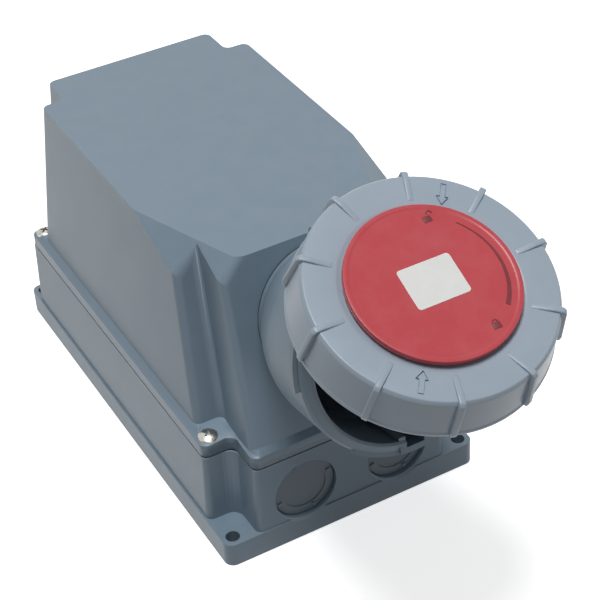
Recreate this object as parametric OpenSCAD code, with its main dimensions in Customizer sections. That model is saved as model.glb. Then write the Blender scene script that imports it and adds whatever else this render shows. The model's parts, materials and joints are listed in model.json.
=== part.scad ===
// Industrial wall socket: a tall wall box with an inclined outlet,
// a hinged lid and a bayonet ring that turns on the lid.
// The box lies on its wall face, z = 0. The outlet end is -Y.

/* [Wall box] */
// Width of the wall box
base_w = 170; // [150:1:200]
// Length of the wall box
base_l = 298; // [280:1:330]
// Height of the four feet
foot_h = 16; // [12:1:22]
// Height of the joint between box and cover
split_z = 62; // [60:1:75]
// Wall of the mouldings
wall = 3.5; // [2.5:0.5:4.5]
// Draft of the box walls, per side
draft = 3; // [1:0.5:4]
// Length of the corner cut-away over a front foot
notch_front = 25; // [20:1:27]
// Length of the corner cut-away over a rear foot
notch_rear = 12.5; // [12.5:0.5:15]
// Width of the corner cut-away over a foot
notch_x = 20; // [18:1:22]
// Diameter of the fixing holes
fix_hole_d = 8.5; // [6:0.5:9]
// Fixing hole to the edge of the box
fix_inset = 7.25; // [7:0.25:7.5]

/* [Cover] */
// Height of the cover's top over the wall
top_z = 182.6; // [175:0.1:200]
// Height of the cover's rim flange
flange_h = 9; // [7:0.5:12]
// Half the cover's width at its top
top_half_w = 72; // [68:1:78]
// Set-back of the front wall's top edge
front_back = 38; // [34:1:44]
// Set-back of the rear wall's top edge
rear_back = 24; // [15:1:35]
// Edge radius round the cover's top
top_edge_r = 4; // [2:0.5:6]
// Front cover screw to the front of the box
screw_front = 34; // [34:0.5:37]
// Rear cover screw to the rear of the box
screw_rear = 22.5; // [22:0.5:25]
// Cover screw to the side of the box
screw_x = 10; // [9.5:0.5:11]
// Diameter of the cover screw heads
screw_head_d = 11.5; // [9:0.5:12]
// Thread diameter of the cover screws
screw_d = 6; // [5:0.5:6]

/* [Entries] */
// Diameter of the cable entries
entry_d = 40.5; // [32:0.5:42]
// Entry, moved in from the middle of its half of the front wall
entry_in = 1.5; // [0:0.5:3.5]
// Height of the entries over the wall
entry_z = 34; // [30:1:36]

/* [Collar] */
// Height of the collar's root on the front wall
collar_z = 137.5; // [132:0.5:140]
// Length of the collar, wall to mouth
collar_l = 83; // [75:1:90]
// Radius of the collar's root
root_r = 42; // [41:0.5:43]
// Radius of the bell behind the mouth
bell_r = 57; // [55:0.5:57.5]
// Thickness of the bell's rim at the mouth
rim_t = 7; // [6.5:0.5:9]

/* [Lid] */
// Angle by which the lid stands open
lid_open = 49.5; // [0:0.5:90]
// Hinge pin to the side of the bell
hinge_out = 9; // [8:0.5:13]
// Hinge pin, distance from the front wall
hinge_z = 55.4; // [52:0.2:56]
// Diameter of the hinge pin
hinge_pin_d = 5; // [4:0.5:6]
// Side of the ring's face to the side of the bell
ring_face_out = 7; // [6.5:0.5:9]
// Foot of the ring's skirt to the side of the bell
ring_foot_out = 11; // [9.5:0.5:13]
// Height of the ring
ring_h = 26; // [24:1:28]
// Radius of the red cap
cap_r = 44.6; // [40:0.1:50]
// Number of grip ribs on the ring
rib_n = 10; // [6:1:14]
// Turn of the ring from open to locked
ring_turn = 60; // [50:1:60]

/* [Contacts] */
// Radius of the circle of the contacts
contact_pcd_r = 23; // [21:0.5:24]
// Bore of the phase and neutral contacts
contact_bore_d = 10; // [8:0.5:10]
// Bore of the earth contact
earth_bore_d = 12; // [10:0.5:12]
// Bore of the pilot contact
pilot_bore_d = 6; // [5:0.5:6]

/* [Hidden] */
$fn = 64;

grey = [0.46, 0.53, 0.58];
light_grey = [0.64, 0.7, 0.76];
dark_grey = [0.27, 0.32, 0.35];
black = [0.07, 0.07, 0.08];
red = [0.72, 0.18, 0.2];
steel = [0.72, 0.71, 0.68];
brass = [0.79, 0.66, 0.36];

arc_steps = 5;
seal_t = 1;
run_gap = 0.05;
part_gap = 0.3;

// Places that follow the box and the bell
entry_gap = base_w / 2 - notch_x - 2 * entry_in;
mouth_r = bell_r - rim_t;
hinge_r = bell_r + hinge_out;
ring_face_r = bell_r + ring_face_out;
ring_foot_r = bell_r + ring_foot_out;

// A corner path of the notched outline in its own quadrant: the end of the
// side wall, the cut-away and the end of the end wall.
function arc(cx, cy, r, a, b) =
    [for (i = [0:arc_steps]) let (t = a + (b - a) * i / arc_steps) [cx + r * cos(t), cy + r * sin(t)]];
function corner(hw, px, py, y, r, rc) = concat(
    arc(hw - r, py - r, r, 0, 90),
    arc(px + rc, py + rc, rc, 270, 180),
    arc(px - r, y - r, r, 0, 90));
function flip(pts) = [for (i = [len(pts) - 1:-1:0]) pts[i]];

// The whole outline, counter-clockwise. o = [half width, half width of the end
// walls, front y, front pillar y, rear y, rear pillar y, corner radius, cut-away radius]
function outline(o) = concat(
    corner(o[0], o[1], o[5], o[4], o[6], o[7]),
    flip([for (p = corner(o[0], o[1], o[5], o[4], o[6], o[7])) [-p[0], p[1]]]),
    [for (p = corner(o[0], o[1], -o[3], -o[2], o[6], o[7])) [-p[0], -p[1]]],
    flip([for (p = corner(o[0], o[1], -o[3], -o[2], o[6], o[7])) [p[0], -p[1]]]));

// The same outline moved in by d on every wall
function inset(o, d) = [o[0] - d, o[1] - d, o[2] + d, o[3] + d, o[4] - d, o[5] - d,
    max(o[6] - d, 0.8), o[7] + d * 0.4];
function blend(a, b, t) = [for (i = [0:7]) a[i] + (b[i] - a[i]) * t];

// A closed skin through outlines at given heights
module loft(levels) {
    n = len(outline(levels[0][1]));
    m = len(levels);
    pts = concat(
        [for (l = levels) for (p = outline(l[1])) [p[0], p[1], l[0]]],
        [[0, 0, levels[0][0]], [0, 0, levels[m - 1][0]]]);
    faces = concat(
        [for (i = [0:n - 1]) [m * n, i, (i + 1) % n]],
        [for (i = [0:n - 1]) [m * n + 1, (m - 1) * n + (i + 1) % n, (m - 1) * n + i]],
        [for (k = [0:m - 2]) for (i = [0:n - 1])
            [k * n + i, (k + 1) * n + i, (k + 1) * n + (i + 1) % n, k * n + (i + 1) % n]]);
    polyhedron(points = pts, faces = faces, convexity = 6);
}

front_y = -base_l / 2;
rear_y = base_l / 2;
half_w = base_w / 2;
pillar_r = 5;
cut_r = 7;

foot_line = [half_w - 0.6, half_w - notch_x, front_y + 0.2, front_y + notch_front,
    rear_y - 0.2, rear_y - notch_rear,
    pillar_r, cut_r];
rim_line = inset(foot_line, draft - 0.6);

// Outlines of the cover: over the ledge and at the top
ledge = 4;
notch_top = 26;
ledge_line = [rim_line[0] - ledge, rim_line[1] - ledge / 2, rim_line[2] + ledge,
    front_y + screw_front + 9, rim_line[4] - ledge, rear_y - screw_rear - 9, pillar_r, cut_r + 1];
top_line = [top_half_w, top_half_w - 15, front_y + front_back, front_y + front_back + notch_top,
    rear_y - rear_back, rear_y - rear_back - notch_top, pillar_r, cut_r - 1];

flange_bottom = split_z + seal_t;
flange_top = flange_bottom + flange_h;
ledge_z = flange_top + 2.5;

// The front wall leans back, and the outlet stands square to it
front_lean = atan2(top_line[2] - ledge_line[2], top_z - ledge_z);
collar_tilt = 90 - front_lean;
collar_y = ledge_line[2] + (collar_z - ledge_z) * tan(front_lean);

module at_outlet() {
    translate([0, collar_y, collar_z]) rotate([collar_tilt, 0, 0]) children();
}

// The lid's own frame is the outlet's, turned open about the hinge pin
module at_lid() {
    at_outlet() translate([0, hinge_r, hinge_z]) rotate([-lid_open, 0, 0])
        translate([0, -hinge_r, -hinge_z]) children();
}

module on_screws() {
    for (sx = [-1, 1]) for (y = [front_y + screw_front, rear_y - screw_rear])
        translate([sx * (half_w - screw_x), y, 0]) children();
}

module on_fixings() {
    for (sx = [-1, 1]) for (sy = [-1, 1])
        translate([sx * (half_w - fix_inset), sy * (rear_y - fix_inset), 0]) children();
}

module on_entries() {
    for (sx = [-1, 1])
        translate([sx * entry_gap / 2, front_y, entry_z]) rotate([90, 0, 0]) children();
}

// Sizes of the cable entries and their blanking plugs
entry_r = entry_d / 2;
boss_r = entry_r + 3.5;
boss_t = 5;
plug_in = 4;
plug_head_t = 3;
nut_t = 5;
plug_seal_t = 1.5;
seat_in = plug_in + plug_head_t + plug_seal_t;
spigot_r = entry_r - 4;

// Wall box
floor_t = 4;
tower_r = 8;
box_tower_r = 6;
rim_z = split_z;
module base_box() color(grey) {
    difference() {
        union() {
            difference() {
                union() {
                    rounded_plate(base_w, base_l, foot_h, 6);
                    loft([[1, foot_line], [rim_z, rim_line]]);
                }
                loft([[floor_t, inset(foot_line, wall)], [rim_z + 1, inset(rim_line, wall)]]);
            }
            on_screws() translate([0, 0, 1]) cylinder(r = box_tower_r, h = rim_z - 2);
            // thicker wall round each entry
            on_entries() translate([0, 0, -seat_in - boss_t]) cylinder(r = boss_r, h = seat_in + boss_t - 2.4);
            // ribs across the floor
            for (y = [-60, 0, 60]) translate([-half_w + 6, y - 1.5, floor_t - 1]) cube([base_w - 12, 3, 7]);
        }
        on_fixings() translate([0, 0, -1]) cylinder(d = fix_hole_d, h = foot_h + 2);
        on_screws() translate([0, 0, 12]) cylinder(d = screw_d - 1, h = rim_z);
        // stepped hole of each entry, and the dished ring round it
        on_entries() {
            translate([0, 0, -seat_in]) cylinder(r = entry_r, h = seat_in + 5);
            translate([0, 0, -seat_in - boss_t - 1]) cylinder(r = spigot_r + part_gap, h = boss_t + 2);
            translate([0, 0, -1.6]) cylinder(r1 = entry_r, r2 = entry_r + 2.4, h = 2.4);
        }
    }
}

module rounded_plate(w, l, h, r) {
    linear_extrude(height = h) rounded_square(w, l, r);
}

module rounded_square(w, l, r) {
    translate([-w / 2 + r, -l / 2]) square([w - 2 * r, l]);
    translate([-w / 2, -l / 2 + r]) square([w, l - 2 * r]);
    for (sx = [-1, 1]) for (sy = [-1, 1]) translate([sx * (w / 2 - r), sy * (l / 2 - r)]) circle(r = r, $fn = 32);
}

// Foam seal in the joint
module cover_gasket() color(black) {
    translate([0, 0, split_z]) linear_extrude(height = seal_t) difference() {
        polygon(outline(inset(rim_line, 1)));
        polygon(outline(inset(rim_line, wall - 0.2)));
    }
}

// Cover: rim flange, ledge with the screw seats, and the tapered hood
roof_levels = 4;
function hood(t) = blend(ledge_line, top_line, t);
roof_from = top_z - top_edge_r;
module cover() color(grey) {
    outer = concat(
        [[flange_bottom, rim_line], [flange_top - 1, inset(rim_line, 0.5)], [flange_top, inset(rim_line, 1.5)],
            [ledge_z, ledge_line]],
        [for (i = [0:roof_levels]) let (a = 90 * i / roof_levels,
            z = roof_from + top_edge_r * sin(a),
            d = top_edge_r * (1 - cos(a)))
            [z, inset(hood((z - ledge_z) / (top_z - ledge_z)), d)]]);
    inner_top = top_z - wall;
    inner = [[flange_bottom - 1, inset(rim_line, wall)], [flange_top - wall, inset(rim_line, wall)],
        [ledge_z - wall, inset(ledge_line, wall)],
        [inner_top, inset(hood((inner_top - ledge_z) / (top_z - ledge_z)), wall)]];
    difference() {
        union() {
            difference() {
                loft(outer);
                difference() {
                    loft(inner);
                    corner_facets(wall);
                    on_screws() cylinder(r = tower_r, h = ledge_z + tower_r);
                }
            }
            // square land that the outlet is clamped to
            at_outlet() translate([0, 0, -wall - 2]) cylinder(r = root_r + 2, h = wall + 1);
        }
        on_screws() {
            translate([0, 0, flange_bottom - 1]) cylinder(d = screw_d + 0.8, h = flange_h + 4);
            translate([0, 0, flange_top - 1]) cylinder(d = screw_head_d + 0.7, h = 12);
        }
        at_outlet() translate([0, 0, -wall - 4]) cylinder(r = neck_r + part_gap, h = 30);
        corner_facets(0);
    }
}

// Facets that run the top face down to the two front pillars
facet_l = 74;
facet_w = 27;
facet_tilt = 41;
module corner_facets(d) {
    for (m = [0, 1]) mirror([m, 0, 0]) translate([top_half_w - facet_w, top_line[2], top_z])
        rotate([0, 0, atan2(facet_l, facet_w)]) rotate([facet_tilt, 0, 0])
            translate([-60, -60, -d]) cube([170, 62, 60]);
}

// Cover screws: pan heads with a cross recess
screw_seat = flange_top - 1;
module cover_screws() color(steel) {
    on_screws() translate([0, 0, screw_seat]) pan_screw(screw_head_d, 4.2, screw_d, screw_seat - 20);
}

module pan_screw(head_d, head_h, d, l) {
    difference() {
        union() {
            translate([0, 0, -l]) cylinder(d = d - 1.1, h = l + 0.5, $fn = 24);
            rotate_extrude($fn = 40) pan_profile(head_d / 2, head_h);
        }
        for (a = [45, 135]) rotate([0, 0, a])
            translate([-head_d * 0.27, -head_d * 0.06, head_h * 0.45]) cube([head_d * 0.54, head_d * 0.12, head_h]);
    }
}

module pan_profile(r, h) {
    intersection() {
        translate([0, h - r * 1.6]) circle(r = r * 1.6, $fn = 96);
        square([r, h]);
    }
}

// Outlet collar: root in the wall, flared bell, mouth, keyway, cams and hinge ears
neck_r = 38.5;
carrier_r = 34.5;
neck_bore = carrier_r + 0.3;
neck_in = 26;
collar_wall = 3;
seal_c = 1.5;
cam_out = 3;
cam_r = bell_r + cam_out;
cam_t = 4;
cam_z = collar_l - 9;
cam_from = -50;
cam_span = 52;
ear_x = 16;
ear_t = 7;
knuckle_r = 5.5;
key_w = 11;
key_deep = 4.3;
key_r = mouth_r + key_deep;

module bell_profile() {
    polygon(concat(
        [[neck_bore, -neck_in], [neck_r, -neck_in], [neck_r, seal_c], [root_r, seal_c]],
        [for (i = [0:12]) let (t = i / 12)
            [root_r + (bell_r - 2 - root_r) * sin(90 * t), seal_c + 3 + (collar_l * 0.5) * t]],
        [[bell_r, collar_l - 7], [bell_r, collar_l - 4.5], [bell_r - 1.2, collar_l - 3]],
        [[mouth_r + 2.2, collar_l - 0.3], [mouth_r + 1.4, collar_l], [mouth_r, collar_l - 0.8]],
        [[mouth_r, collar_l * 0.5], [mouth_r - 2, collar_l * 0.42]],
        [for (i = [0:8]) let (t = 1 - i / 8)
            [neck_bore + (mouth_r - 2 - neck_bore) * sin(90 * t), seal_c + 3 + collar_l * 0.36 * t]]));
}

module collar() color(grey) {
    at_outlet() difference() {
        union() {
            rotate_extrude($fn = 96) bell_profile();
            // the keyway's outer swelling
            intersection() {
                translate([-key_w / 2 - 4, -key_r - 5, collar_l - 30]) cube([key_w + 8, 12, 29]);
                cylinder(r = key_r + 3.5, h = collar_l);
            }
            // raised bead beside the keyway
            translate([0, 0, collar_l - 5.5]) wedge(mouth_r + 4, bell_r + 1.6, 2.4, -128, -98);
            for (s = [0, 180]) rotate([0, 0, s]) cam();
            hinge_ears();
        }
        translate([-key_w / 2, -key_r, collar_l - 34]) cube([key_w, 10, 40]);
        translate([0, hinge_r, hinge_z]) rotate([0, 90, 0])
            cylinder(d = hinge_pin_d + 2 * run_gap, h = 80, center = true, $fn = 32);
        on_carrier_screws() translate([0, 0, -neck_in - 1]) cylinder(d = 2.5, h = carrier_screw_l - 6, $fn = 24);
    }
}

// A cam of the bayonet: a strip round the collar whose entry half is a ramp
cam_lead = 5;
module cam() {
    difference() {
        translate([0, 0, cam_z]) wedge(bell_r - 2.5, cam_r, cam_t, cam_from, cam_from + cam_span);
        rotate([0, 0, cam_from + cam_span / 2]) translate([bell_r - 8, 0, cam_z]) rotate([cam_lead, 0, 0])
            translate([0, 0, -6]) cube([20, 60, 6]);
    }
}

// A piece of a ring between two angles
module wedge(r1, r2, h, a, b) {
    rotate([0, 0, a]) rotate_extrude(angle = b - a, $fn = 96) translate([r1, 0]) square([r2 - r1, h]);
}

module hinge_ears() {
    for (s = [-1, 1]) translate([s * (ear_x + ear_t / 2), 0, 0]) {
        translate([0, hinge_r, hinge_z]) rotate([0, 90, 0])
            cylinder(r = knuckle_r, h = ear_t, center = true, $fn = 40);
        translate([-ear_t / 2, bell_r - 9, hinge_z - knuckle_r - 5]) rotate([90, 0, 90])
            linear_extrude(height = ear_t)
                polygon([[0, 0], [9, 2], [hinge_r - bell_r + 9, 5], [hinge_r - bell_r + 9, 2 * knuckle_r + 5],
                    [4, 2 * knuckle_r + 5], [0, 2 * knuckle_r + 5]]);
    }
}

module collar_gasket() color(black) {
    at_outlet() difference() {
        translate([0, 0, 0.05]) cylinder(r = root_r - 0.3, h = seal_c - 0.05);
        translate([0, 0, -1]) cylinder(r = neck_r + 0.2, h = seal_c + 2);
    }
}

// Ring nut that clamps the collar from inside the cover
nut_in = wall + 2;
module clamp_nut() color(dark_grey) {
    at_outlet() translate([0, 0, -nut_in - 9]) difference() {
        union() {
            cylinder(r = neck_r + 4.5, h = 9);
            for (a = [0:45:315]) rotate([0, 0, a]) translate([neck_r + 2, -3, 0]) cube([5, 6, 6]);
        }
        translate([0, 0, -1]) cylinder(r = neck_r + 0.1, h = 11);
    }
}

// Contact carrier: a moulded insulator with a front tower and a back block
carrier_top = collar_l - 14;
carrier_back = neck_in + 8;
contact_names = ["contact_pe", "contact_l1", "contact_l2", "contact_l3", "contact_n"];
function contact_angle(i) = -90 + [0, -60, -120, 120, 60][i];
sleeve_wall = 2;
sleeve_top = carrier_top - 4;
sleeve_l = 52;
function bore_d(i) = i == 0 ? earth_bore_d : contact_bore_d;
function sleeve_r(i) = bore_d(i) / 2 + sleeve_wall;

module on_contact(i) {
    rotate([0, 0, contact_angle(i)]) translate([contact_pcd_r, 0, 0]) children();
}

carrier_screw_l = 16;
module on_carrier_screws() {
    for (a = [0, 180]) rotate([0, 0, a]) translate([(neck_bore + neck_r) / 2, 0, 0]) children();
}
module contact_carrier() color(dark_grey) {
    at_outlet() difference() {
        union() {
            translate([0, 0, -neck_in]) cylinder(r = carrier_r, h = neck_in + carrier_top - 2);
            translate([0, 0, carrier_top - 2]) cylinder(r1 = carrier_r, r2 = carrier_r - 2, h = 2);
            translate([0, 0, -carrier_back]) cylinder(r = neck_r + 1.5, h = carrier_back - neck_in);
        }
        for (i = [0:4]) on_contact(i) {
            translate([0, 0, sleeve_top]) cylinder(r = bore_d(i) / 2 + 0.4, h = 10);
            translate([0, 0, sleeve_top - sleeve_l]) cylinder(r = sleeve_r(i), h = sleeve_l, $fn = 40);
            translate([0, 0, -carrier_back - 1])
                cylinder(r = sleeve_r(i) + 1, h = carrier_back + 1 + sleeve_top - sleeve_l, $fn = 40);
        }
        translate([0, 0, sleeve_top]) cylinder(r = pilot_bore_d / 2 + 0.4, h = 10);
        translate([0, 0, -carrier_back - 1]) cylinder(r = pilot_bore_d / 2 + 1.5, h = carrier_back + 1 + sleeve_top);
        on_carrier_screws() translate([0, 0, -carrier_back - 1]) cylinder(d = 3.4, h = 12, $fn = 24);
    }
}

// A contact: bored sleeve in front, terminal barrel behind
module contact(i) {
    at_outlet() on_contact(i) translate([0, 0, sleeve_top - sleeve_l]) difference() {
        union() {
            cylinder(r = sleeve_r(i), h = sleeve_l, $fn = 40);
            translate([0, 0, -tail_l]) cylinder(r = sleeve_r(i) - 0.5, h = tail_l + 1, $fn = 40);
        }
        translate([0, 0, sleeve_l - 38]) cylinder(d = bore_d(i), h = 40, $fn = 40);
        translate([0, 0, -tail_l - 1]) cylinder(d = bore_d(i) - 1, h = tail_l - 2, $fn = 40);
        rotate([0, 0, 180]) translate([0, 0, -tail_l + 7]) rotate([0, 90, 0]) cylinder(d = 5, h = 12, $fn = 24);
    }
}
tail_l = carrier_back + sleeve_top - sleeve_l + 16;

module contact_pe() color(brass) contact(0);
module contact_l1() color(brass) contact(1);
module contact_l2() color(brass) contact(2);
module contact_l3() color(brass) contact(3);
module contact_n() color(brass) contact(4);
module contact_pilot() color(brass) {
    at_outlet() difference() {
        translate([0, 0, -carrier_back - 8]) cylinder(r = pilot_bore_d / 2 + 1.5, h = carrier_back + 8 + sleeve_top);
        translate([0, 0, sleeve_top - 30]) cylinder(d = pilot_bore_d, h = 40);
    }
}

// Clamp screws of the terminals, from the middle outwards
module terminal_screws() color(steel) {
    at_outlet() for (i = [0:4]) on_contact(i) rotate([0, 0, 180])
        translate([0, 0, sleeve_top - sleeve_l - tail_l + 7]) rotate([0, 90, 0])
            translate([0, 0, bore_d(i) / 2 - 2]) cylinder(d = 4.9, h = sleeve_wall + 4, $fn = 24);
}

// Screws that hold the carrier's back block to the neck
module carrier_screws() color(steel) {
    at_outlet() on_carrier_screws() translate([0, 0, -carrier_back]) mirror([0, 0, 1])
        pan_screw(5.4, 2, 3, carrier_screw_l);
}

// Earth bar on the box floor
bar_in = 49;
bar_l = 44;
bar_w = 10;
bar_h = 16;
bar_pitch = 14;
bar_y = rear_y - bar_in;
bar_z = floor_t + 8;
module earth_bar() color(brass) {
    difference() {
        translate([-bar_l / 2, bar_y - bar_w / 2, floor_t]) cube([bar_l, bar_w, bar_h]);
        for (x = [-bar_pitch, 0, bar_pitch]) {
            translate([x, bar_y, bar_z]) rotate([90, 0, 0]) cylinder(d = 6.5, h = 12, center = true, $fn = 24);
            translate([x, bar_y, bar_z]) cylinder(d = 5, h = 12, $fn = 24);
        }
    }
}

module earth_bar_screws() color(steel) {
    for (x = [-bar_pitch, 0, bar_pitch]) translate([x, bar_y, bar_z + 3.3]) cylinder(d = 4.9, h = 8, $fn = 24);
}

// Blanking plugs: disc with a cross slot of finger ribs, stem and inner nut
module blanking_plug(s) color(dark_grey) {
    translate([s * entry_gap / 2, front_y, entry_z]) rotate([90, 0, 0]) difference() {
        union() {
            translate([0, 0, -plug_in - plug_head_t]) cylinder(r = entry_r - 0.6, h = plug_head_t);
            translate([0, 0, -seat_in - boss_t - nut_t - 2]) cylinder(r = spigot_r, h = seat_in + boss_t + nut_t - 4);
            for (a = [20, 110, 200, 290]) rotate([0, 0, a])
                translate([entry_r - 4.6, -1.2, -plug_in - 0.5]) cube([3, 2.4, 1.3]);
        }
        translate([0, 0, -seat_in - boss_t - nut_t - 3]) cylinder(r = spigot_r - 2.5, h = seat_in + boss_t + nut_t - 4);
        // shallow round dish in the face
        translate([0, 0, -plug_in - 0.6]) cylinder(r = entry_r - 6, h = 2);
    }
}
module plug_left() blanking_plug(-1);
module plug_right() blanking_plug(1);

module plug_seals() color(black) {
    on_entries() translate([0, 0, -seat_in]) difference() {
        cylinder(r = entry_r - 0.8, h = plug_seal_t);
        translate([0, 0, -1]) cylinder(r = spigot_r + 0.1, h = plug_seal_t + 2);
    }
}

module plug_nuts() color(dark_grey) {
    on_entries() translate([0, 0, -seat_in - boss_t - nut_t]) difference() {
        cylinder(r = entry_r + 1.5, h = nut_t, $fn = 6);
        translate([0, 0, -1]) cylinder(r = spigot_r, h = nut_t + 2);
    }
}

// Hinge pin with two riveted ends
module hinge_pin() color(steel) {
    at_outlet() translate([0, hinge_r, hinge_z]) rotate([0, 90, 0]) {
        cylinder(d = hinge_pin_d, h = 2 * (ear_x + ear_t) + 2, center = true, $fn = 32);
        for (s = [-1, 1]) translate([0, 0, s * (ear_x + ear_t + 1)]) cylinder(d = hinge_pin_d + 2, h = 1.4, center = true);
    }
}

// Lid, in the outlet's frame as if closed
lid_seal_t = 3;
lid_seal_z = collar_l + part_gap;
carrier_z = lid_seal_z + lid_seal_t;
carrier_t = 3;
web_z = carrier_z + carrier_t + part_gap;
web_t = 3;
ring_top = web_z + web_t + 1;
cap_z = ring_top + 0.2;
cap_t = 3.4;
hub_r = 38;
lid_screw_r = hub_r - 10;
arm_gap = 0.6;
arm_t = 2;
arm_r1 = bell_r + arm_gap;
arm_r2 = arm_r1 + arm_t;
arm_x = 14;
plate_r = bell_r + 1;

module lid_carrier() color(dark_grey) {
    at_lid() difference() {
        union() {
            translate([0, 0, carrier_z]) cylinder(r = plate_r, h = carrier_t);
            // arm round the collar's rim to the hinge
            translate([arm_x, 0, 0]) rotate([0, -90, 0]) linear_extrude(height = 2 * arm_x)
                polygon([[carrier_z + carrier_t, plate_r - 3], [carrier_z + carrier_t, arm_r2 - 1],
                    [carrier_z + carrier_t - 1, arm_r2], [hinge_z + 11, arm_r2], [hinge_z + 5, hinge_r + 1.5],
                    [hinge_z + 2, hinge_r - 4], [hinge_z + 9.5, arm_r1], [carrier_z, arm_r1], [carrier_z, plate_r - 3]]);
            translate([0, hinge_r, hinge_z]) rotate([0, 90, 0])
                cylinder(r = knuckle_r, h = 2 * ear_x - 2 * part_gap, center = true, $fn = 40);
        }
        translate([0, hinge_r, hinge_z]) rotate([0, 90, 0])
            cylinder(d = hinge_pin_d + 2 * run_gap, h = 80, center = true, $fn = 32);
        for (a = [45:90:315]) rotate([0, 0, a]) translate([lid_screw_r, 0, carrier_z - 1]) cylinder(d = 4.4, h = carrier_t + 2, $fn = 24);
    }
}

module lid_gasket() color(black) {
    at_lid() translate([0, 0, lid_seal_z]) difference() {
        cylinder(r = bell_r - 1, h = lid_seal_t);
        translate([0, 0, -1]) cylinder(r = mouth_r - 2, h = lid_seal_t + 2);
    }
}

// Cap: domed rim, recess for the label, padlocks and the turning arrow
label_w = 30;
label_h = 23.5;
mark_r = 36.5;
module lid_cap() color(red) {
    at_lid() difference() {
        union() {
            translate([0, 0, cap_z]) rotate_extrude($fn = 96) polygon(concat(
                [[0, 0], [cap_r, 0]],
                [for (a = [0:15:90]) [cap_r - 1.8 + 1.8 * cos(a), cap_t - 1.8 + 1.8 * sin(a)]],
                [[cap_r - 3.2, cap_t - 0.3], [0, cap_t - 0.3]]));
            translate([0, 0, web_z - part_gap]) cylinder(r = hub_r, h = cap_z - web_z + part_gap + 0.5);
        }
        for (a = [45:90:315]) rotate([0, 0, a]) translate([28, 0, web_z - 1]) cylinder(d = 3, h = 6, $fn = 24);
        translate([0, 0, cap_z + cap_t - 0.7]) linear_extrude(height = 1) rounded_square(label_w + 1, label_h + 1, 2);
        // arrow groove that widens towards its head
        for (i = [0:11]) translate([0, 0, cap_z + cap_t - 0.8])
            wedge(mark_r - 0.4 - 0.11 * i, mark_r + 0.4 + 0.11 * i, 1, 40 - 6.8 * (i + 1), 40 - 6.8 * i);
        for (m = [[65, 1], [-64, 0]]) rotate([0, 0, m[0]]) translate([mark_r, 0, cap_z + cap_t - 0.7])
            rotate([0, 0, -90]) linear_extrude(height = 1) padlock(m[1]);
    }
}

// A plain padlock mark, open or shut
module padlock(open) {
    translate([-2.4, -3]) square([4.8, 3.6]);
    translate([open ? 2.6 : 0, 0.4]) difference() {
        circle(r = 2.2, $fn = 24);
        circle(r = 1.4, $fn = 24);
        translate([-3, -3.2]) square([6, 3]);
    }
}

module lid_screws() color(steel) {
    at_lid() for (a = [45:90:315]) rotate([0, 0, a]) translate([lid_screw_r, 0, carrier_z]) mirror([0, 0, 1]) {
        cylinder(d = 7, h = 1.6, $fn = 32);
        translate([0, 0, -6]) cylinder(d = 2.9, h = 6, $fn = 24);
    }
}

module lid_label() color([0.93, 0.93, 0.93]) {
    at_lid() translate([0, 0, cap_z + cap_t - 0.7]) linear_extrude(height = 0.35) rounded_square(label_w, label_h, 1.8);
}

// Bayonet ring: dished face, drafted skirt, grip ribs and two inner lugs
skirt_gap = 2.4;
skirt_in = cam_r + skirt_gap;
skirt_draft = 2;
hole_r = hub_r + 0.5;
ring_z = ring_top - ring_h;
lug_half = 6;
lug_t = 4;
lug_z = cam_z - lug_t - part_gap;
lug_at = cam_from + cam_span + lug_half + 4;
module lid_ring() color(light_grey) {
    at_lid() {
        rotate_extrude($fn = 96) polygon([[hole_r, web_z], [skirt_in, web_z], [skirt_in + skirt_draft, ring_z],
            [ring_foot_r + 0.6, ring_z], [ring_foot_r + 0.6, ring_z + 2], [ring_foot_r, ring_z + 2.6],
            [ring_face_r + 0.8, ring_top - 2], [ring_face_r - 0.8, ring_top], [cap_r + 1.5, ring_top - 0.6],
            [cap_r + 0.6, ring_top - 0.8], [cap_r + 0.6, ring_top - 1], [hole_r, ring_top - 1]]);
        for (i = [0:rib_n - 1]) rotate([0, 0, i * 360 / rib_n]) grip_rib();
        for (s = [0, 180]) rotate([0, 0, s + lug_at]) translate([0, 0, lug_z])
            wedge(bell_r + 1.2, skirt_in + skirt_draft + 0.5, lug_t, -lug_half, lug_half);
        // raised arrows on the face
        for (s = [0, 180]) rotate([0, 0, 54 + s]) translate([ring_face_r - 9, 0, ring_top - 0.9])
            rotate([0, 0, 90]) linear_extrude(height = 1.3) arrow();
    }
}

// One rib: over the face, round the edge and down the skirt
rib_w = 3.4;
module grip_rib() {
    rotate([90, 0, 0]) translate([0, 0, -rib_w / 2]) linear_extrude(height = rib_w)
        polygon([[cap_r + 4, ring_top - 1.5], [cap_r + 5, ring_top - 0.4], [ring_face_r - 3, ring_top + 1.4],
            [ring_face_r + 1.6, ring_top + 1.4], [ring_face_r + 3, ring_top - 0.2], [ring_foot_r + 2.6, ring_z + 4],
            [ring_foot_r + 2.2, ring_z + 1.4], [ring_foot_r - 1, ring_z + 1], [ring_face_r - 2, ring_top - 2]]);
}

module arrow() {
    difference() {
        union() {
            translate([-1.2, -4]) square([2.4, 5.5]);
            polygon([[-2.8, 1.5], [2.8, 1.5], [0, 5]]);
        }
        translate([-0.6, -3.4]) square([1.2, 5]);
        polygon([[-1.2, 2.1], [1.2, 2.1], [0, 3.6]]);
    }
}

base_box();
cover();
cover_gasket();
cover_screws();
collar();
collar_gasket();
clamp_nut();
contact_carrier();
contact_l1();
contact_l2();
contact_l3();
contact_n();
contact_pe();
contact_pilot();
terminal_screws();
carrier_screws();
earth_bar();
earth_bar_screws();
plug_left();
plug_right();
plug_seals();
plug_nuts();
hinge_pin();
lid_carrier();
lid_gasket();
lid_cap();
lid_screws();
lid_label();
lid_ring();
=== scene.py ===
import json
import math

import bmesh
import bpy
from mathutils import Matrix, Vector


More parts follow.
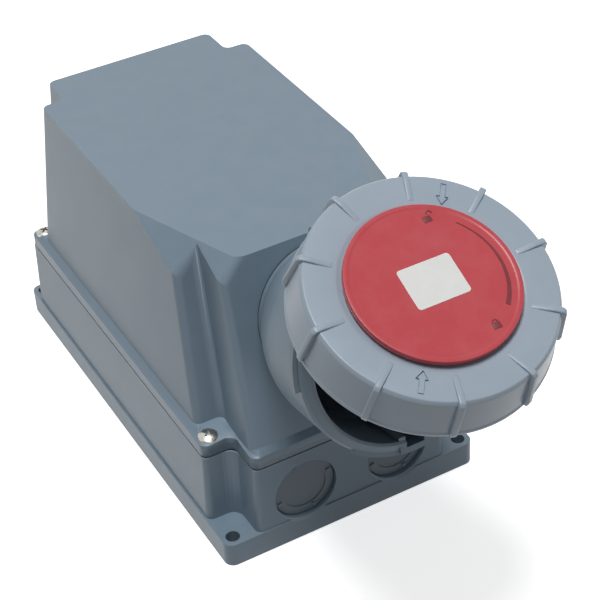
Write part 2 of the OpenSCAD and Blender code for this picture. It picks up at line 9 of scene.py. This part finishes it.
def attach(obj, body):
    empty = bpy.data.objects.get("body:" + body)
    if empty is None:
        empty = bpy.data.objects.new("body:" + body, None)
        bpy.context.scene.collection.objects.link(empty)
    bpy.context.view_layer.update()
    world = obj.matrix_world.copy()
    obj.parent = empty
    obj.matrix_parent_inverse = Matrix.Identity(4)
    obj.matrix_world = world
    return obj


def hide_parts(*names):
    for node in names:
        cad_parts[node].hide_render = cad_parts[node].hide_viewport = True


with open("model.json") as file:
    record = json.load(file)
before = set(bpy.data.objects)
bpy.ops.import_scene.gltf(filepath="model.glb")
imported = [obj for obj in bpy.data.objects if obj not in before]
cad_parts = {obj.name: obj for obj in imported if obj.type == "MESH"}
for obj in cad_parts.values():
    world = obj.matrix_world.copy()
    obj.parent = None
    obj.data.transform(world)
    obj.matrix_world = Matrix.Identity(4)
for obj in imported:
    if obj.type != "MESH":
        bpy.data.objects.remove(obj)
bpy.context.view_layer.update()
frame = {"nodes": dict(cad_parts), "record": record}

nodes = frame["nodes"]


# Shader building

class Wire:
    """A socket of a shader node, with arithmetic."""

    def __init__(self, tree, socket):
        self.tree = tree
        self.socket = socket

    def math(self, kind, a, b):
        node = self.tree.nodes.new("ShaderNodeMath")
        node.operation = kind
        for socket, value in zip(node.inputs, (a, b)):
            feed(self.tree, socket, value)
        return Wire(self.tree, node.outputs[0])

    def __add__(self, b):
        return self.math("ADD", self, b)

    __radd__ = __add__

    def __sub__(self, b):
        return self.math("SUBTRACT", self, b)

    def __rsub__(self, b):
        return self.math("SUBTRACT", b, self)

    def __mul__(self, b):
        return self.math("MULTIPLY", self, b)

    __rmul__ = __mul__

    def top(self, b):
        return self.math("MAXIMUM", self, b)


def feed(tree, socket, value):
    """Links a wire to a socket, or gives the socket a plain value."""
    if isinstance(value, Wire):
        tree.links.new(value.socket, socket)
    else:
        socket.default_value = value


class Shading:
    """A node tree, and the one method that adds nodes to it."""

    def __init__(self, tree):
        self.tree = tree

    def node(self, kind, settings=None, **values):
        made = self.tree.nodes.new(kind)
        for key, value in (settings or {}).items():
            if key == "stops":
                ramp = made.color_ramp
                for i, (at, level) in enumerate(value):
                    stop = ramp.elements[i] if i < 2 else ramp.elements.new(at)
                    stop.position = at
                    stop.color = (level, level, level, 1)
            else:
                setattr(made, key, value)
        for key, value in values.items():
            by_number = key[0] == "i" and key[1:].isdigit()
            feed(self.tree, made.inputs[int(key[1:]) if by_number else key], value)
        return {o.name: Wire(self.tree, o) for o in made.outputs if o.enabled}

    def seen(self):
        """1 where the camera or a reflection looks at the surface, 0 where its light is gathered."""
        path = self.node("ShaderNodeLightPath")
        return path["Is Camera Ray"].top(path["Is Glossy Ray"])


class Finish(Shading):
    """A material with one Principled shader and the nodes that feed it."""

    def __init__(self, name):
        self.mat = bpy.data.materials.new(name)
        self.mat.use_nodes = True
        super().__init__(self.mat.node_tree)
        self.shader = self.tree.nodes["Principled BSDF"]
        self.place = self.node("ShaderNodeTexCoord")["Object"]

    def noise(self, scale, detail, rough):
        values = {"Vector": self.place, "Scale": scale, "Detail": detail, "Roughness": rough}
        return self.node("ShaderNodeTexNoise", **values)["Fac"]

    def steps(self, value, *stops):
        return self.node("ShaderNodeValToRGB", {"stops": stops}, Fac=value)["Color"]

    def mix(self, fac, a, b):
        return self.node("ShaderNodeMix", {"data_type": "RGBA"}, i0=fac, i6=a, i7=b)["Result"]

    def bump(self, height, strength, distance):
        values = {"Height": height, "Strength": strength, "Distance": distance}
        self.set("Normal", self.node("ShaderNodeBump", **values)["Normal"])

    def set(self, name, value):
        feed(self.tree, self.shader.inputs[name], value)


def tone(r, g, b):
    """A screen colour, 0 to 255, as a linear one."""
    def one(v):
        v = v / 255
        return v / 12.92 if v <= 0.04045 else ((v + 0.055) / 1.055) ** 2.4
    return (one(r), one(g), one(b), 1)


DUST = tone(205, 203, 196)


def moulded_plastic(name, base, dark, light, grain, rough):
    """Moulded plastic: spark-eroded grain, faint flow clouds, handling marks and settled dust."""
    f = Finish(name)
    clouds = f.noise(9.0, 3.0, 0.55)
    flow = f.noise(42.0, 4.0, 0.6)
    grit = f.noise(1900.0, 2.0, 0.5)
    scuff = f.steps(f.noise(130.0, 6.0, 0.72), (0.63, 0), (0.72, 1))
    facing = f.node("ShaderNodeSeparateXYZ", Vector=f.node("ShaderNodeNewGeometry")["Normal"])["Z"]
    settled = f.steps(f.noise(70.0, 5.0, 0.65), (0.4, 0), (0.75, 1))
    dust = f.steps(facing, (0.45, 0), (1.0, 1)) * settled
    colour = f.mix(f.steps(clouds, (0.3, 0), (0.7, 1)), dark, base)
    colour = f.mix(f.steps(flow, (0.35, 0), (0.8, 1)) * 0.12, colour, light)
    colour = f.mix(dust * 0.05, colour, DUST)
    colour = f.mix(scuff * 0.07, colour, light)
    f.set("Base Color", colour)
    f.set("Roughness", rough + (flow - 0.5) * 0.1 + dust * 0.06 + scuff * 0.05)
    f.set("IOR", 1.49)
    f.bump(grit * 0.6 + flow * 0.5, 0.22 * grain, 0.0002)
    return f.mat


def dark_moulding(name, base, light):
    """The dark inner mouldings, with fine grain and a cloudy tone."""
    f = Finish(name)
    cloud = f.noise(24.0, 4.0, 0.6)
    f.set("Base Color", f.mix(f.steps(cloud, (0.35, 0), (0.75, 1)), base, light))
    f.set("Roughness", 0.5 + (cloud - 0.5) * 0.2)
    f.bump(f.noise(1500.0, 2.0, 0.5), 0.16, 0.0002)
    return f.mat


def soft_seal(name):
    """Black foam rubber with small pores."""
    f = Finish(name)
    pores = f.node("ShaderNodeTexVoronoi", Vector=f.place, Scale=1400.0)["Distance"]
    cloud = f.noise(60.0, 3.0, 0.6)
    f.set("Base Color", f.mix(cloud, tone(20, 21, 22), tone(40, 41, 42)))
    f.set("Roughness", 0.78 + (cloud - 0.5) * 0.15)
    f.bump(pores, 0.3, 0.0002)
    return f.mat


def plated_steel(name):
    """Bright plated steel with fine turning lines and dull spots."""
    f = Finish(name)
    spots = f.steps(f.noise(420.0, 5.0, 0.7), (0.45, 0), (0.68, 1))
    lines = f.noise(2600.0, 1.0, 0.4)
    f.set("Base Color", f.mix(spots, tone(198, 195, 186), tone(150, 145, 134)))
    f.set("Metallic", 1.0)
    f.set("Roughness", 0.26 + spots * 0.2 + (lines - 0.5) * 0.1)
    f.bump(lines, 0.1, 0.0001)
    return f.mat


def contact_metal(name):
    """Turned brass, slightly tarnished."""
    f = Finish(name)
    tarnish = f.steps(f.noise(180.0, 5.0, 0.65), (0.4, 0), (0.7, 1))
    f.set("Base Color", f.mix(tarnish, tone(222, 184, 110), tone(160, 122, 66)))
    f.set("Metallic", 1.0)
    f.set("Roughness", 0.26 + tarnish * 0.24)
    f.bump(f.noise(2200.0, 1.0, 0.4), 0.1, 0.0001)
    return f.mat


def label_film(name):
    """White film, left bare: a soft sheen and a faint orange peel."""
    f = Finish(name)
    cloud = f.noise(120.0, 3.0, 0.6)
    f.set("Base Color", f.mix(cloud, tone(236, 236, 233), tone(222, 223, 221)))
    f.set("Roughness", 0.34 + (cloud - 0.5) * 0.12)
    f.set("Coat Weight", 0.25)
    f.bump(f.noise(900.0, 2.0, 0.5), 0.06, 0.0001)
    return f.mat


grey = moulded_plastic(
    "grey_moulding", tone(119, 138, 153), tone(116, 135, 150), tone(140, 156, 169), 1.0, 0.42)
# The ring's grey is lighter than the cover's grey. This is partly the ring's own tone and partly painted
# light, brightening the up-turned ring face as if the key lamp lit it more.
ring_grey_and_painted_light = moulded_plastic(
    "ring_moulding_and_painted_light", tone(156, 171, 185), tone(153, 168, 182), tone(172, 185, 196), 0.8, 0.32)
plug_grey = moulded_plastic(
    "blank_moulding", tone(98, 112, 122), tone(94, 108, 118), tone(120, 132, 142), 0.8, 0.42)
cap_red = moulded_plastic(
    "cap_moulding", tone(192, 62, 72), tone(188, 58, 68), tone(206, 92, 98), 0.8, 0.3)
mark_red = moulded_plastic(
    "mark_moulding", tone(118, 26, 36), tone(108, 22, 31), tone(140, 44, 52), 0.5, 0.4)
inner_dark = dark_moulding("inner_moulding", tone(38, 42, 46), tone(52, 57, 62))
seal_black = soft_seal("seal_rubber")
steel = plated_steel("plated_screw_steel")
brass = contact_metal("turned_brass")
film = label_film("bare_label_film")

by_slot = {
    "grey_plastic": grey, "ring_plastic": ring_grey_and_painted_light, "red_plastic": cap_red, "plug_plastic": plug_grey,
    "inner_plastic": inner_dark, "label": film, "seal": seal_black, "screw_steel": steel,
    "contact_brass": brass,
}
slot_of = {s["node"]: s["material_slot"] for s in frame["record"]["subparts"]}
for name, obj in nodes.items():
    obj.data.materials.clear()
    obj.data.materials.append(by_slot[slot_of[name]])


# Sizes in millimetres. Those of the lid are in the outlet's frame, whose z runs out along its axis

MM = 0.001

# The outlet's root on the front wall, and its tilt from upright
OUTLET_ROOT = (0, -124.1003, 137.5)
OUTLET_TILT = 73.8029
# The hinge pin, and the angle at which the lid stands open
PIN = Vector((0, 66, 55.4))
LID_OPEN = 49.5

# The ring: its hole, face, skirt and foot
HOLE_R = 38.5
FACE_R = 64
SKIRT_R = 62.4
SKIRT_DRAFT = 2
FOOT_R = 68
WEB_Z = 89.6
RING_TOP = 93.6
RING_FOOT = 67.6
RING_SMOOTH = 0.55
RIB_N = 10
RIB_W = 3.4
# Its inner lugs
LUG_R = 58.2
LUG_Z = 69.7
LUG_T = 4
LUG_AT = 12
LUG_HALF = 6
# Its raised arrows
ARROW_AT = 54
ARROW_R = 54.6
ARROW_LINE = 0.8
ARROW_T = 1.1

# The red cap with its hub, the label and the marks
HUB_R = 38
CAP_R = 44.6
CAP_Z = 93.8
CAP_FACE = 96.9
CAP_TOP = 97.2
LABEL_W = 30
LABEL_H = 23.5
LABEL_Z = 96.7
LABEL_T = 0.36
MARK_Z = 96.5
MARK_TOP = 97.15
TURN_ARROW_R = 37.6
PADLOCK_W = 4.6

# The cover: outlines as half width, half width between the cut-aways, front, front of the
# side walls, rear and rear of the side walls
RIM = (82, 62.6, -146.4, -121.6, 146.4, 134.1)
LEDGE = (78, 60.6, -142.4, -106, 142.4, 117.5)
ROOF = (72, 57, -111, -85, 125, 99)
RIM_Z = 63
RIM_TOP = 72
LEDGE_Z = 74.5
ROOF_Z = 182.6
CORNER_R = 5.5
ROOF_EDGE = 2.8
COVER_WALL = 3.2
# The two facets at the front corners of its roof
FACET_L = 74
FACET_W = 27
FACET_HEADING = math.radians(70)
FACET_TILT = math.radians(41)


def turn(degrees, axis):
    return Matrix.Rotation(math.radians(degrees), 4, axis)


OUTLET = Matrix.Translation(OUTLET_ROOT) @ turn(OUTLET_TILT, "X")
LID = OUTLET @ Matrix.Translation(PIN) @ turn(-LID_OPEN, "X") @ Matrix.Translation(-PIN)


# Mesh building

def new_verts(made):
    """The vertices among what an operator made."""
    return [v for v in made["geom"] if isinstance(v, bmesh.types.BMVert)]


def raise_faces(part, height):
    """Draws every face up into a solid."""
    made = bmesh.ops.extrude_face_region(part, geom=part.faces[:])
    bmesh.ops.translate(part, vec=(0, 0, height), verts=new_verts(made))
    bmesh.ops.recalc_face_normals(part, faces=part.faces)


def flat(points, z):
    """A bmesh with one flat face."""
    part = bmesh.new()
    part.faces.new([part.verts.new((x, y, z)) for x, y in points])
    return part


def join(bm, part, place):
    """Adds one bmesh to another in the given place."""
    bmesh.ops.transform(part, matrix=place, verts=part.verts)
    mesh = bpy.data.meshes.new("part")
    part.to_mesh(mesh)
    part.free()
    bm.from_mesh(mesh)
    bpy.data.meshes.remove(mesh)


def plate(bm, points, low, high, edge, place):
    """A flat outline drawn up from low to high, with its edges rounded."""
    part = flat(points, low)
    raise_faces(part, high - low)
    if edge:
        bmesh.ops.bevel(part, geom=part.edges[:], offset=edge, affect="EDGES", segments=3, profile=0.5,
                        material=-1, clamp_overlap=True)
    join(bm, part, place)


def turned(bm, section, rounding, place):
    """A closed section of (radius, height) points with rounded corners, spun a full turn."""
    part = bmesh.new()
    part.faces.new([part.verts.new((r, 0, z)) for r, z in section])
    corners = [v for v in part.verts if v.co.x > 0.1]
    bmesh.ops.bevel(part, geom=corners, offset=rounding, affect="VERTICES", segments=4, profile=0.5,
                    material=-1, clamp_overlap=True)
    bmesh.ops.delete(part, geom=part.faces[:], context="FACES_ONLY")
    on_axis = [e for e in part.edges if e.verts[0].co.x < 0.1 and e.verts[1].co.x < 0.1]
    bmesh.ops.delete(part, geom=on_axis, context="EDGES")
    bmesh.ops.spin(part, geom=part.verts[:] + part.edges[:], cent=(0, 0, 0), axis=(0, 0, 1),
                   dvec=(0, 0, 0), angle=2 * math.pi, steps=144, use_merge=True, use_duplicate=False)
    bmesh.ops.recalc_face_normals(part, faces=part.faces)
    join(bm, part, place)


def sector(r1, r2, start, end, steps):
    """The outline of a piece of a flat ring."""
    turns = [math.radians(start + (end - start) * i / steps) for i in range(steps + 1)]
    outer = [(r2 * math.cos(a), r2 * math.sin(a)) for a in turns]
    inner = [(r1 * math.cos(a), r1 * math.sin(a)) for a in reversed(turns)]
    return outer + inner


def finish_piece(bm, name, material, body, node, smooth):
    """Turns a bmesh in millimetres into a piece that rides on a body."""
    bmesh.ops.scale(bm, vec=(MM, MM, MM), verts=bm.verts)
    bmesh.ops.remove_doubles(bm, verts=bm.verts, dist=0.01 * MM)
    bmesh.ops.recalc_face_normals(bm, faces=bm.faces)
    for face in bm.faces:
        face.smooth = True
    mesh = bpy.data.meshes.new(name)
    bm.to_mesh(mesh)
    bm.free()
    mesh.materials.append(material)
    obj = bpy.data.objects.new(name, mesh)
    bpy.context.scene.collection.objects.link(obj)
    mesh.set_sharp_from_angle(angle=math.radians(smooth))
    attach(obj, body)
    if node:
        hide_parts(node)
    return obj


# The cover

def notched(half_w, half_in, front, front_side, rear, rear_side):
    """The twelve corners of the notched outline, counter-clockwise."""
    right = [(half_in, front), (half_in, front_side), (half_w, front_side),
             (half_w, rear_side), (half_in, rear_side), (half_in, rear)]
    return right + [(-x, y) for x, y in reversed(right)]


def inset(line, d):
    """The same outline moved in by d on every wall."""
    half_w, half_in, front, front_side, rear, rear_side = line
    return (half_w - d, half_in - d, front + d, front_side + d, rear - d, rear_side - d)


def hood_skin():
    """The cover's outside: rim flange, ledge and tapered hood, open below."""
    levels = [(RIM_TOP - 0.8, RIM), (RIM_TOP, inset(RIM, 1.5)), (LEDGE_Z, LEDGE), (ROOF_Z, ROOF)]
    bm = bmesh.new()
    ring = [bm.verts.new((x, y, RIM_Z)) for x, y in notched(*RIM)]
    base = bm.faces.new(ring)
    for z, line in levels:
        edges = [bm.edges.get((ring[i - 1], v)) for i, v in enumerate(ring)]
        fresh = new_verts(bmesh.ops.extrude_edge_only(bm, edges=edges))
        ring = [next(e.other_vert(v) for e in v.link_edges if e.other_vert(v) in fresh) for v in ring]
        for v, (x, y) in zip(ring, notched(*line)):
            v.co = (x, y, z)
    bm.faces.new(ring)
    bm.faces.remove(base)
    bmesh.ops.recalc_face_normals(bm, faces=bm.faces)
    return bm


def cut_facet(bm, side):
    """Cuts the roof down to the front pillar on one side and closes the cut."""
    half_w, front = ROOF[0], ROOF[2]
    rear_end = Vector((side * half_w, front + FACET_L, ROOF_Z))
    front_end = Vector((side * (half_w - FACET_W), front, ROOF_Z))
    along = (front_end - rear_end).normalized()
    out = Vector((side * math.sin(FACET_HEADING), -math.cos(FACET_HEADING), 0))
    down = out * math.cos(FACET_TILT) - Vector((0, 0, math.sin(FACET_TILT)))
    normal = along.cross(down.normalized())
    if normal.z < 0:
        normal = -normal
    cut = bmesh.ops.bisect_plane(bm, geom=bm.verts[:] + bm.edges[:] + bm.faces[:], plane_co=rear_end,
                                 plane_no=normal, clear_outer=True, dist=0.0001)
    rim = [e for e in cut["geom_cut"] if isinstance(e, bmesh.types.BMEdge)]
    bmesh.ops.holes_fill(bm, edges=rim, sides=0)


def is_upright(edge):
    """True for an edge that climbs between two walls."""
    a, b = (v.co for v in edge.verts)
    return (edge.is_manifold and abs(a.z - b.z) > 0.5 and abs((a - b).normalized().z) > 0.35
            and edge.calc_face_angle(0) > 0.6)


def hood_shell():
    """The cover, with rounded corners and edges and its wall."""
    bm = hood_skin()
    for side in (-1, 1):
        cut_facet(bm, side)
    upright = [e for e in bm.edges if is_upright(e)]
    bmesh.ops.bevel(bm, geom=upright, offset=CORNER_R, offset_type="OFFSET", affect="EDGES", segments=6,
                    profile=0.5, material=-1, clamp_overlap=True)
    obj = finish_piece(bm, "hood_shell", grey, "root", "cover", 40)
    edge = obj.modifiers.new("rounding", "BEVEL")
    edge.width = ROOF_EDGE * MM
    edge.segments = 4
    edge.limit_method = "ANGLE"
    edge.angle_limit = math.radians(24)
    wall = obj.modifiers.new("wall", "SOLIDIFY")
    wall.thickness = COVER_WALL * MM
    wall.offset = -1


# The lid's ring, cap, label and marks

def raised_arrow(bm, place):
    """An outlined arrow that points to the middle."""
    line = [(-1.4, -6.0), (1.4, -6.0), (1.4, 1.6), (3.1, 1.6), (0, 6.4), (-3.1, 1.6), (-1.4, 1.6)]
    part = flat(line, 0)
    middle = part.faces[:]
    bmesh.ops.inset_region(part, faces=middle, thickness=ARROW_LINE, use_boundary=True, use_even_offset=True)
    bmesh.ops.delete(part, geom=middle, context="FACES")
    raise_faces(part, ARROW_T)
    join(bm, part, place)


def grip_ring():
    """The bayonet ring: dished face, drafted skirt, grip ribs, inner lugs and two arrows."""
    bm = bmesh.new()
    section = [(HOLE_R, WEB_Z), (SKIRT_R, WEB_Z), (SKIRT_R + SKIRT_DRAFT, RING_FOOT),
               (FOOT_R + 0.6, RING_FOOT), (FOOT_R + 0.6, RING_FOOT + 2), (FOOT_R - 0.1, RING_FOOT + 2.8),
               (FACE_R + 1, RING_TOP - 1.8), (FACE_R - 0.4, RING_TOP + 0.1), (CAP_R + 2.6, RING_TOP - 0.5),
               (CAP_R + 0.7, RING_TOP - 1), (HOLE_R, RING_TOP - 1.1)]
    turned(bm, section, RING_SMOOTH, LID)
    rib = [(CAP_R + 3.4, RING_TOP - 1.4), (CAP_R + 4.9, RING_TOP - 0.2), (FACE_R - 3.5, RING_TOP + 1.3),
           (FACE_R + 1.4, RING_TOP + 1.3), (FACE_R + 3.2, RING_TOP - 0.4), (FOOT_R + 2.7, RING_FOOT + 4.4),
           (FOOT_R + 2.2, RING_FOOT + 1.7), (FOOT_R - 1.5, RING_FOOT + 1.4), (FACE_R - 1.5, RING_TOP - 2)]
    upright = Matrix.Translation((0, RIB_W / 2, 0)) @ turn(90, "X")
    for i in range(RIB_N):
        plate(bm, rib, 0, RIB_W, 1.0, LID @ turn(360 / RIB_N * i, "Z") @ upright)
    for a in (LUG_AT, LUG_AT + 180):
        lug = sector(LUG_R, SKIRT_R + 2.5, a - LUG_HALF, a + LUG_HALF, 12)
        plate(bm, lug, LUG_Z, LUG_Z + LUG_T, 0.4, LID)
    inward = Matrix.Translation((ARROW_R, 0, RING_TOP - 0.5)) @ turn(90, "Z")
    for a in (ARROW_AT, ARROW_AT + 180):
        raised_arrow(bm, LID @ turn(a, "Z") @ inward)
    finish_piece(bm, "grip_ring", ring_grey_and_painted_light, "ring", "lid_ring", 42)


def red_cap():
    """The red cap: dished disc with a rounded rim over its hub."""
    bm = bmesh.new()
    section = [(0, WEB_Z - 0.3), (HUB_R, WEB_Z - 0.3), (HUB_R, CAP_Z), (CAP_R, CAP_Z), (CAP_R, CAP_TOP),
               (CAP_R - 2.2, CAP_TOP), (CAP_R - 3, CAP_FACE), (0, CAP_FACE)]
    turned(bm, section, 0.9, LID)
    finish_piece(bm, "red_cap", cap_red, "lid", "lid_cap", 42)


def bare_label():
    """The label on the cap, left bare."""
    x, y = LABEL_W / 2, LABEL_H / 2
    part = flat([(-x, -y), (x, -y), (x, y), (-x, y)], LABEL_Z)
    bmesh.ops.bevel(part, geom=part.verts[:], offset=1.8, affect="VERTICES", segments=6, profile=0.5,
                    material=-1)
    raise_faces(part, LABEL_T)
    bm = bmesh.new()
    join(bm, part, LID)
    finish_piece(bm, "bare_label", film, "lid", "lid_label", 30)


def turn_arrow(steps=30):
    """A crescent that widens from its tail to its head."""
    outer, inner = [], []
    for i in range(steps + 1):
        a = math.radians(42 - 85 * i / steps)
        wide = 0.25 + 1.5 * i / steps
        outer.append(((TURN_ARROW_R + wide * 0.5) * math.cos(a), (TURN_ARROW_R + wide * 0.5) * math.sin(a)))
        inner.append(((TURN_ARROW_R - wide * 0.9) * math.cos(a), (TURN_ARROW_R - wide * 0.9) * math.sin(a)))
    return outer + inner[::-1]


def padlock(bm, x, y, hoop, hoop_x, hoop_y):
    """A padlock's body with its hoop, which stands aside when open."""
    at = LID @ Matrix.Translation((x, y, 0))
    half = PADLOCK_W / 2
    plate(bm, [(-half, -2.6), (half, -2.6), (half, 1.0), (-half, 1.0)], MARK_Z, MARK_TOP, 0.15, at)
    plate(bm, hoop, MARK_Z, MARK_TOP, 0, at @ Matrix.Translation((hoop_x, hoop_y, 0)))


def cap_marks():
    """Moulded marks on the cap: a tapering turn arrow and two padlocks."""
    bm = bmesh.new()
    plate(bm, turn_arrow(), MARK_Z, MARK_TOP, 0, LID)
    padlock(bm, 15.4, 33.2, sector(1.1, 1.75, -20, 180, 16), 2.5, 1.9)
    padlock(bm, 16.0, -32.5, sector(1.1, 1.75, 0, 180, 16), 0, 1.0)
    finish_piece(bm, "cap_marks", mark_red, "lid", None, 42)


# Floor, light and camera, in metres

AIM = Vector((0, 0, 0.1))
SURROUND = 0.16


def stage():
    """A pale floor that the camera sees as bright and that throws little light back."""
    bm = bmesh.new()
    bmesh.ops.create_grid(bm, x_segments=1, y_segments=1, size=6)
    mesh = bpy.data.meshes.new("floor")
    bm.to_mesh(mesh)
    bm.free()
    floor = bpy.data.objects.new("floor", mesh)
    floor.location = (0, 0, -0.0004)
    bpy.context.scene.collection.objects.link(floor)
    f = Finish("pale_floor")
    f.set("Roughness", 0.9)
    f.set("Specular IOR Level", 0.1)
    seen = f.seen()
    f.set("Base Color", f.mix(seen, (0.3, 0.3, 0.3, 1), (0.94, 0.94, 0.94, 1)))
    f.set("Emission Color", f.mix(seen, (0, 0, 0, 1), (0.7, 0.7, 0.7, 1)))
    f.set("Emission Strength", 1.0)
    floor.data.materials.append(f.mat)


def lamp(name, place, size, power):
    data = bpy.data.lights.new(name, "AREA")
    data.shape = "DISK"
    data.size = size
    data.energy = power
    obj = bpy.data.objects.new(name, data)
    obj.location = place
    obj.rotation_euler = (AIM - Vector(place)).to_track_quat("-Z", "Y").to_euler()
    bpy.context.scene.collection.objects.link(obj)


def surround():
    """A white surround that gives only a little light."""
    world = bpy.data.worlds.new("studio")
    world.use_nodes = True
    sky = Shading(world.node_tree)
    back = world.node_tree.nodes["Background"]
    feed(sky.tree, back.inputs["Strength"], SURROUND + sky.seen() * (1 - SURROUND))
    back.inputs["Color"].default_value = (1, 1, 1, 1)
    bpy.context.scene.world = world


def camera():
    """The camera, placed and turned as the photo was taken."""
    data = bpy.data.cameras.new("view")
    data.sensor_width = 36
    data.lens = 101.43
    data.clip_start = 0.05
    data.clip_end = 30
    obj = bpy.data.objects.new("view", data)
    obj.location = (-0.3541, -0.7837, 0.7141)
    obj.rotation_euler = [math.radians(a) for a in (52.707, 2.935, -29.430)]
    bpy.context.scene.collection.objects.link(obj)
    bpy.context.scene.camera = obj


hood_shell()
grip_ring()
red_cap()
bare_label()
cap_marks()
stage()
lamp("key", (-0.3, -0.4, 2.8), 1.1, 50)
lamp("fill", (1.9, -1.5, 1.3), 1.8, 2)
lamp("rear", (0.3, 2.0, 1.9), 1.6, 3)
surround()
camera()
bpy.context.scene.view_settings.view_transform = "Standard"
